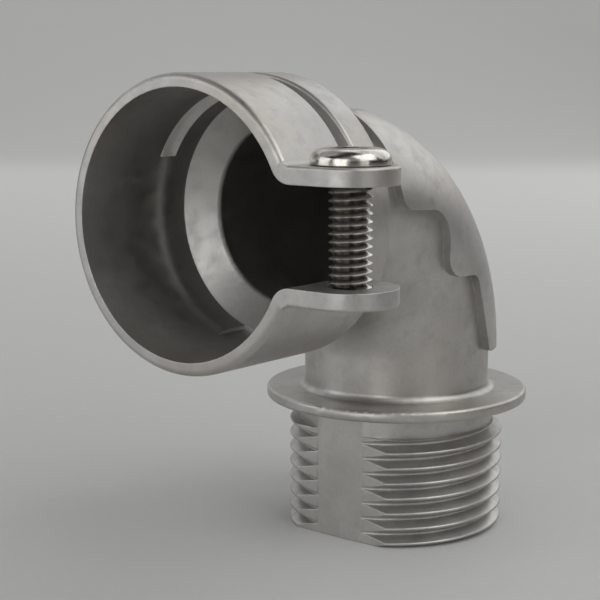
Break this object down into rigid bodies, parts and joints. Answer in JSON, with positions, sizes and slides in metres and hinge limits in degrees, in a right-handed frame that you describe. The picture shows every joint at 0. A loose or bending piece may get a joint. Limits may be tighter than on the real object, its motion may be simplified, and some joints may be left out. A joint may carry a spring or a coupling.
{
  "type": "elbow connector",
  "caption": "Cast metal right-angle connector that clamps a flexible metal conduit in a split collar and turns it down into a flanged, threaded nipple.",
  "frame": {"origin": "centre of the flange's seating face, where the nipple's axis meets it", "axes": "-Z along the nipple, away from the flange; -Y along the collar, out of its mouth; +X towards the clamp ears"},
  "size_m": [0.0391, 0.055, 0.0552],
  "materials": {
    "cast_zinc": "satin as-cast zinc, light grey with faint darker smudges",
    "plated_steel": "bright plated steel"
  },
  "bodies": {
    "casting": {"body": "cast_zinc"},
    "screw": {"clamp_screw": "plated_steel"}
  },
  "joints": [
    {"name": "screw_turn", "type": "hinge", "parent": "casting", "child": "screw", "pos_m": [0.0183, -0.03417, 0.0241], "axis": [0, 0, 1], "range_deg": [0, 810]}
  ]
}
